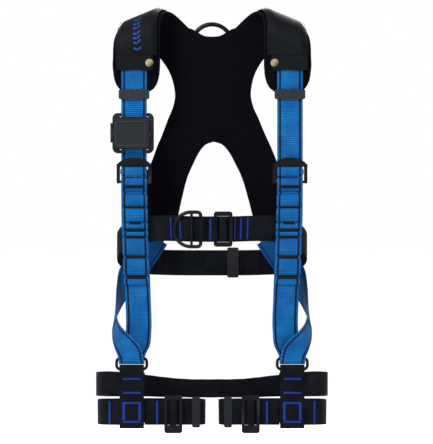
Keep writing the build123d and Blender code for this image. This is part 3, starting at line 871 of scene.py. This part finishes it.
def stitch_belt(bands):
    """Blue bar tacks on the belt."""
    left = bands["belt_left"]
    right = bands["belt_right"]
    blue = Patches()
    for x, tilt in ((74, 0.04), (66, -0.05), (56, 0.06)):
        bar_tack(blue, left.seat((x, BELT_Y, BELT_Z), FRONT), 38, 3.0, -1, tilt)
    bar_tack(blue, left.seat((1.5, BELT_Y - 10, BELT_Z), FRONT), 38, 3.0, -1)
    for x in (42, 52, 62):
        bar_tack(blue, right.seat((x, BELT_Y, BELT_Z), FRONT), 38, 3.2, 1, 0.03)
    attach(blue.build("belt_tacks", BLUE_THREAD, "black_webbing"), ROOT)


# --- pads ---------------------------------------------------------------------------------
COVER_W = 72.0                   # width of a shoulder cover, seen from the front
COVER_T = 2.0
COVER_FALL = 6.2                 # how far the cover's sewn edges lie below its raised middle
COVER_SEAM = 33.67               # from the cover's middle to its row of stitches
SNAP_TAB_TOP = -54.8


def shoulder_pad():
    """Foam pad from its rounded front end over the ridge to the back pad."""
    mid = (PAD_INNER_X + PAD_OUTER_X) / 2
    width = PAD_OUTER_X - PAD_INNER_X
    stations = arch_stations(mid, PAD_R, width - 3, drift=PAD_SPLAY)
    hem = [(-118.5, 30), (-117.5, 40), (-115, 50), (-110, 61), (-103, 69.5), (-94, 75), (-82, 78.5)]
    panel = [(Vector((mid + PAD_SPLAY, -PAD_R, z)), Vector((wide, 0, 0))) for z, wide in hem]
    lead_out = (stations[-1][0] + BACK_RUN * 14, stations[0][1])
    return Band(panel + stations + [lead_out], PAD_T - 0.6, 4.0, PAD_PROFILE)


def drape(s):
    """Height of the cover's cloth across its width: raised over the strap, sewn down at the edges."""
    away = abs(s) * 2
    return -COVER_FALL * min(max((away - 0.7) / 0.26, 0.0), 1.0) ** 1.4


def shoulder_cover():
    """Cloth over the strap, sewn to the pad along both edges."""
    mid = (PAD_INNER_X + PAD_OUTER_X) / 2
    stations = arch_stations(mid, COVER_R, COVER_W, last=ARCH_STEPS - 2, drift=PAD_SPLAY)
    foot = stations[0][0]
    hem = [(Vector((foot.x, foot.y, z)), Vector((COVER_W, 0, 0))) for z in (-54.4, -50, -46)]
    shaped = [(s / 10 - 0.5, 1.0) for s in (0.3, 0.6, 1, 1.4, 1.9, 2.6, 3.5, 4.2)]
    across = [(-0.5, 0.0), (-0.495, 0.75)] + shaped + [(0.0, 1.0)]
    across += [(-s, h) for s, h in reversed(across[:-1])]
    made = Band(hem + stations, COVER_T, 3.0, across, ripple=0.1)
    made.drape = drape
    return made


def snap_tab():
    """Closing tab at the cover's hem, from its fold to the snap."""
    reach = [(168, -80), (166, -80.6), (150, -81), (136, -80.4), (120, -81), (107, -80.8), (104, -79)]
    stations = []
    for x, low in reach:
        middle = Vector((x, -COVER_R, (SNAP_TAB_TOP + low) / 2))
        stations.append((middle, Vector((0, 0, SNAP_TAB_TOP - low))))
    return Band(stations, COVER_T, 3.0, PAD_PROFILE, ripple=0.1)


def edge_path(band, fraction):
    """Path along a band at a fraction of its width from its middle."""
    return list(band.centres + band.wides * fraction)


def tube(name, path, radius, material, side=1, closed=False, sides=10):
    """Round tube along layout points."""
    path = np.array(path, float)
    count = len(path)
    if closed:
        tangents = np.roll(path, -1, axis=0) - np.roll(path, 1, axis=0)
    else:
        tangents = np.gradient(path, axis=0)
    vertices = []
    normal = Vector((0.3, 1, 0.2))
    for point, tangent in zip(path, tangents):
        along = Vector(tangent).normalized()
        normal = (normal - along * normal.dot(along)).normalized()
        binormal = along.cross(normal)
        for corner in range(sides):
            turn = 2 * math.pi * corner / sides
            ring = Vector(point) + (normal * math.cos(turn) + binormal * math.sin(turn)) * radius
            vertices.append(to_row((ring.x * side, ring.y, ring.z)))
    faces = []
    for row in range(count if closed else count - 1):
        low = row * sides
        high = ((row + 1) % count) * sides
        for corner in range(sides):
            after = (corner + 1) % sides
            faces.append((low + corner, low + after, high + after, high + corner))
    if not closed:
        faces.append(tuple(reversed(range(sides))))
        faces.append(tuple(range((count - 1) * sides, count * sides)))
    return add_object(name, vertices, faces, material)


BACK_OUTLINE = [
    (0, -20),
    (14, -18.5),
    (27, -11.5),
    (40, -5),
    (60, -14),
    (95, -30),
    (117, -42),
    (101, -48),
    (92, -56),
    (85, -65),
    (75, -82),
    (68, -105),
    (66, -124),
    (69.5, -142),
    (80, -167),
    (89, -190),
    (100, -215),
    (112, -245),
    (129, -276),
    (143, -302),
    (151, -330),
    (145, -352),
    (128, -366),
    (96, -370),
    (78, -362),
    (70, -345),
    (61, -310),
    (47, -262),
    (38, -243),
    (28, -224),
    (15, -209),
    (0, -204),
]


def back_outline(step=5.0):
    """Smooth closed outline of the back pad, as (x, z) points."""
    right = [(x, 0, z) for x, z in BACK_OUTLINE]
    half = smooth_curve(right, step)[:, [0, 2]]
    mirrored = half[1:-1][::-1] * np.array([-1, 1])
    outline = np.concatenate([half, mirrored])
    drop = np.clip(-42 - outline[:, 1], 0, None)
    outline[:, 0] += PAD_LEAN * drop
    return outline


def edge_distance(points, outline):
    """Distance of each point from a closed outline."""
    ends = np.roll(outline, -1, axis=0)
    runs = ends - outline
    squares = (runs**2).sum(axis=1)
    offsets = points[:, None, :] - outline[None, :, :]
    along = np.clip((offsets * runs[None]).sum(axis=2) / squares[None], 0, 1)
    gaps = offsets - along[:, :, None] * runs[None]
    return np.sqrt((gaps**2).sum(axis=2)).min(axis=1)


def inside(points, outline):
    """Which points lie inside a closed outline."""
    result = np.zeros(len(points), bool)
    for start, end in zip(outline, np.roll(outline, -1, axis=0)):
        crosses = (start[1] > points[:, 1]) != (end[1] > points[:, 1])
        rise = end[1] - start[1]
        reach = (end[0] - start[0]) * (points[:, 1] - start[1]) / (rise if rise else 1.0) + start[0]
        result ^= crosses & (points[:, 0] < reach)
    return result


def pad_crown(points, distance):
    """Half thickness of the foam: a rolled edge, a stitched channel and a soft quilted field."""
    roll = 4.6 * np.sqrt(1 - (1 - np.clip(distance / 5.0, 0, 1)) ** 2)
    channel = 1.3 * np.exp(-(((distance - 9.0) / 1.6) ** 2))
    x, z = points[:, 0], points[:, 1]
    soft_field = 0.25 * np.sin(x * 0.05) * np.sin(z * 0.043 + 0.6)
    return roll - channel + soft_field * np.clip((distance - 12) / 12, 0, 1)


GRID_X = 4.0                     # spacing of the back pad's mesh
GRID_Z = 3.5
EDGE_RINGS = (0.35, 1.1, 2.3)    # extra rows of vertices along the rolled edge
WELD = 0.00002                   # metres within which the two faces' rims are joined


def inward_of(outline):
    """Unit directions into a closed outline."""
    run = np.roll(outline, -1, axis=0) - np.roll(outline, 1, axis=0)
    run /= np.linalg.norm(run, axis=1)[:, None]
    return np.stack([run[:, 1], -run[:, 0]], axis=1)


def pad_triangles(outline, inward):
    """Flat (x, z) points and triangles that fill the outline."""
    xs = np.arange(-168, 169, GRID_X)
    zs = np.arange(-372, 6, GRID_Z)
    grid = np.array([(x + (row % 2) * GRID_X / 2, z) for row, z in enumerate(zs) for x in xs])
    grid = grid[inside(grid, outline)]
    grid = grid[edge_distance(grid, outline) > 3.2]
    rings = [outline]
    for inset in EDGE_RINGS:
        ring = outline + inward * inset
        rings.append(ring[edge_distance(ring, outline) > inset * 0.7])
    flat = np.concatenate(rings + [grid])
    count = len(outline)
    rim = [(item, (item + 1) % count) for item in range(count)]
    made = delaunay_2d_cdt([Vector(point) for point in flat], rim, [], 1, 0.0001)
    return np.array([tuple(point) for point in made[0]]), made[2]


def weld_rims(item):
    """Join the front and rear faces where they meet."""
    weld = bmesh.new()
    weld.from_mesh(item.data)
    bmesh.ops.remove_doubles(weld, verts=weld.verts, dist=WELD)
    bmesh.ops.recalc_face_normals(weld, faces=weld.faces)
    weld.to_mesh(item.data)
    weld.free()


def make_back_pad():
    """X-shaped back pad: crowned foam between two faces with a bound edge."""
    outline = back_outline()
    inward = inward_of(outline)
    points, triangles = pad_triangles(outline, inward)
    distance = edge_distance(points, outline)
    heights = pad_crown(points, distance)
    heights[distance < 0.05] = 0.0
    front = [to_row((x, PAD_R - h, z)) for (x, z), h in zip(points, heights)]
    rear = [to_row((x, PAD_R + h, z)) for (x, z), h in zip(points, heights)]
    total = len(points)
    faces = [tuple(face) for face in triangles]
    faces += [tuple(total + corner for corner in reversed(face)) for face in triangles]
    foam = add_object("back_pad_foam", front + rear, faces, PAD)
    weld_rims(foam)
    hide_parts("back_pad")
    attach(foam, ROOT)
    path = [(x, PAD_R, z) for x, z in outline + inward]
    binding = tube("back_pad_binding", path, 2.3, BINDING, closed=True, sides=8)
    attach(binding, ROOT)


def make_shoulders():
    """Shoulder pads, their bindings, the covers and the snap tabs."""
    pad = shoulder_pad()
    cover = shoulder_cover()
    tab = snap_tab()
    for name, side in SIDES.items():
        foam = soft(pad, f"shoulder_pad_{name}_foam", PAD, "pad", f"shoulder_pad_{name}", side)
        rim = edge_path(pad, -0.5)[::-1] + edge_path(pad, 0.5)
        piping = tube(f"shoulder_binding_{name}", rim, 1.9, BINDING, side, sides=8)
        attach(piping, ROOT)
        cloth = soft(cover, f"shoulder_cover_{name}_cloth", COVER, "cover", f"shoulder_cover_{name}", side)
        flap = soft(tab, f"snap_tab_{name}_cloth", COVER, "cover", f"snap_tab_{name}", side, f"tab_{name}")
        rows = Patches()
        for shift in (-COVER_SEAM, COVER_SEAM):
            running_stitch(rows, cover, cover.centres[2], cover.centres[-3], shift, side)
        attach(rows.build(f"cover_stitches_{name}", BLACK_THREAD, "cover"), ROOT)


CHEVRONS = 7
CHEVRON_PITCH = 9.5


def make_cover_print():
    """A plain printed row of chevrons on the left cover."""
    cover = shoulder_cover()
    marks = Patches()
    place = cover.lengths[cover.at((133, -COVER_R, -44))]
    for mark in range(CHEVRONS):
        index = int(np.argmin(np.abs(cover.lengths - place - mark * CHEVRON_PITCH)))
        for half in (-1, 1):
            seat = cover.seat(cover.centres[index], FRONT, -2.0 + half * 3.6)
            marks.patch(seat, 8.2, 3.6, flat_relief(0.3), 8, 5, -1, half * 0.55)
    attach(marks.build("cover_chevrons", PRINT, "cover"), ROOT)


# --- hardware -----------------------------------------------------------------------------
LID_PANEL = (-143.5, -63.45, -192.0)
LID_PANEL_W = 49.6
LID_PANEL_H = 41.6
LID_CORNER = 4.0
CORNER_STEPS = 6


def make_lid_rim():
    """Fine raised rim round the panel of the label case's lid, in a lighter plastic that paints a
    highlight along the panel's edge.
    """
    reach_x = LID_PANEL_W / 2 - LID_CORNER
    reach_z = LID_PANEL_H / 2 - LID_CORNER
    path = []
    for quarter, (way_x, way_z) in enumerate([(1, 1), (-1, 1), (-1, -1), (1, -1)]):
        for step in range(CORNER_STEPS + 1):
            turn = math.pi / 2 * (quarter + step / CORNER_STEPS)
            x = LID_PANEL[0] + way_x * reach_x + LID_CORNER * math.cos(turn)
            z = LID_PANEL[2] + way_z * reach_z + LID_CORNER * math.sin(turn)
            path.append((x, LID_PANEL[1], z))
    rim = tube("lid_rim", path, 0.55, RIM_HIGHLIGHT, closed=True)
    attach(rim, "case_lid")


def finish_hardware():
    """Materials and softened edges, in millimetres, for the nodes that stay as CAD."""
    plans = [
        (METAL, 0.9, ("adjuster_frame", "leg_ring", "thigh_buckle_frame"), ("belt_d_ring",)),
        (METAL, 0.8, (), ("belt_buckle_frame", "dorsal_ring")),
        (BAR_METAL_HIGHLIGHT, 0.6, ("adjuster_bar", "thigh_buckle_bar"), ("belt_buckle_bar", "label_case_pin")),
        (PLASTIC, 1.6, ("strap_keeper",), ()),
        (DARK_PLASTIC, 1.6, ("thigh_keeper",), ("belt_keeper", "dorsal_plate")),
        (CASE, 0.5, (), ("label_case_base", "label_case_lid", "label_case_latch")),
        (LABEL, 0.3, (), ("label_pack",)),
        (SNAP, 0.45, ("snap_cap", "snap_stud"), ()),
    ]
    for material, bevel, pairs, singles in plans:
        names = [f"{node}_{side}" for node in pairs for side in SIDES] + list(singles)
        for name in names:
            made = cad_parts[name]
            made.data.materials.clear()
            made.data.materials.append(material)
            rounding = made.modifiers.new("soft_edges", "BEVEL")
            rounding.width = bevel / 1000
            rounding.segments = 3
            rounding.limit_method = "ANGLE"
            rounding.angle_limit = math.radians(40)
            rounding.harden_normals = True


# --- stage --------------------------------------------------------------------------------
VIEW_TALL = 0.780                # height of the view at the harness, metres
VIEW_X = 0.0079                  # where the middle of the view is
VIEW_Z = -0.3475
CAMERA_FAR = 9.0
SENSOR = 36.0
FLOOR_DROP = 0.08                # metres from the lowest strap to the floor
FLOOR_REACH = 80.0
FLOOR_SIDES = 96


def make_camera():
    """Level camera in front of the harness with a long lens."""
    data = bpy.data.cameras.new("front_camera")
    data.sensor_width = SENSOR
    data.lens = SENSOR * CAMERA_FAR / VIEW_TALL
    camera = bpy.data.objects.new("front_camera", data)
    front_y = to_row((0, THIGH_FRONT_Y, 0)).y
    camera.location = (VIEW_X, front_y - CAMERA_FAR, VIEW_Z)
    camera.rotation_euler = (math.pi / 2, 0, 0)
    bpy.context.scene.collection.objects.link(camera)
    bpy.context.scene.camera = camera


def add_light(name, location, size, energy, target):
    """Soft rectangular light that faces the target."""
    data = bpy.data.lights.new(name, "AREA")
    data.shape = "RECTANGLE"
    data.size = size[0]
    data.size_y = size[1]
    data.energy = energy
    lamp = bpy.data.objects.new(name, data)
    lamp.location = location
    lamp.rotation_mode = "QUATERNION"
    lamp.rotation_quaternion = (Vector(target) - Vector(location)).to_track_quat("-Z", "Y")
    bpy.context.scene.collection.objects.link(lamp)


def make_stage():
    """Pale round floor, white surroundings and soft lights."""
    low, high = CAD_BOX
    middle = (low + high) / 2
    floor_z = low.z - FLOOR_DROP
    vertices = [(0.0, 0.0, floor_z)]
    for part in range(FLOOR_SIDES):
        turn = 2 * math.pi * part / FLOOR_SIDES
        vertices.append((FLOOR_REACH * math.cos(turn), FLOOR_REACH * math.sin(turn), floor_z))
    faces = [(0, part + 1, (part + 1) % FLOOR_SIDES + 1) for part in range(FLOOR_SIDES)]
    data = bpy.data.meshes.new("studio_floor")
    data.from_pydata(vertices, [], faces)
    floor = bpy.data.objects.new("studio_floor", data)
    bpy.context.scene.collection.objects.link(floor)
    paint = Surface("studio_white", (0.95, 0.95, 0.95), 0.9, specular=0.05)
    paint.shader.inputs["Emission Color"].default_value = (1, 1, 1, 1)
    paint.shader.inputs["Emission Strength"].default_value = 0.06
    data.materials.append(paint.material)
    world = bpy.data.worlds.new("studio")
    world.use_nodes = True
    world.node_tree.nodes["Background"].inputs["Color"].default_value = (1, 1, 1, 1)
    world.node_tree.nodes["Background"].inputs["Strength"].default_value = 1.0
    bpy.context.scene.world = world
    add_light("key", (-1.1, -2.0, 1.7), (1.0, 1.0), 150, middle)
    add_light("fill", (1.9, -2.0, 0.0), (1.2, 1.8), 18, middle)
    add_light("rear", (0.7, 2.2, 1.4), (1.2, 1.2), 60, middle)
    bpy.context.scene.view_settings.view_transform = "Standard"


def main():
    make_camera()
    make_stage()
    bands = make_straps()
    stitch_fronts(bands)
    stitch_belt(bands)
    make_back_pad()
    make_shoulders()
    make_cover_print()
    make_lid_rim()
    finish_hardware()


main()
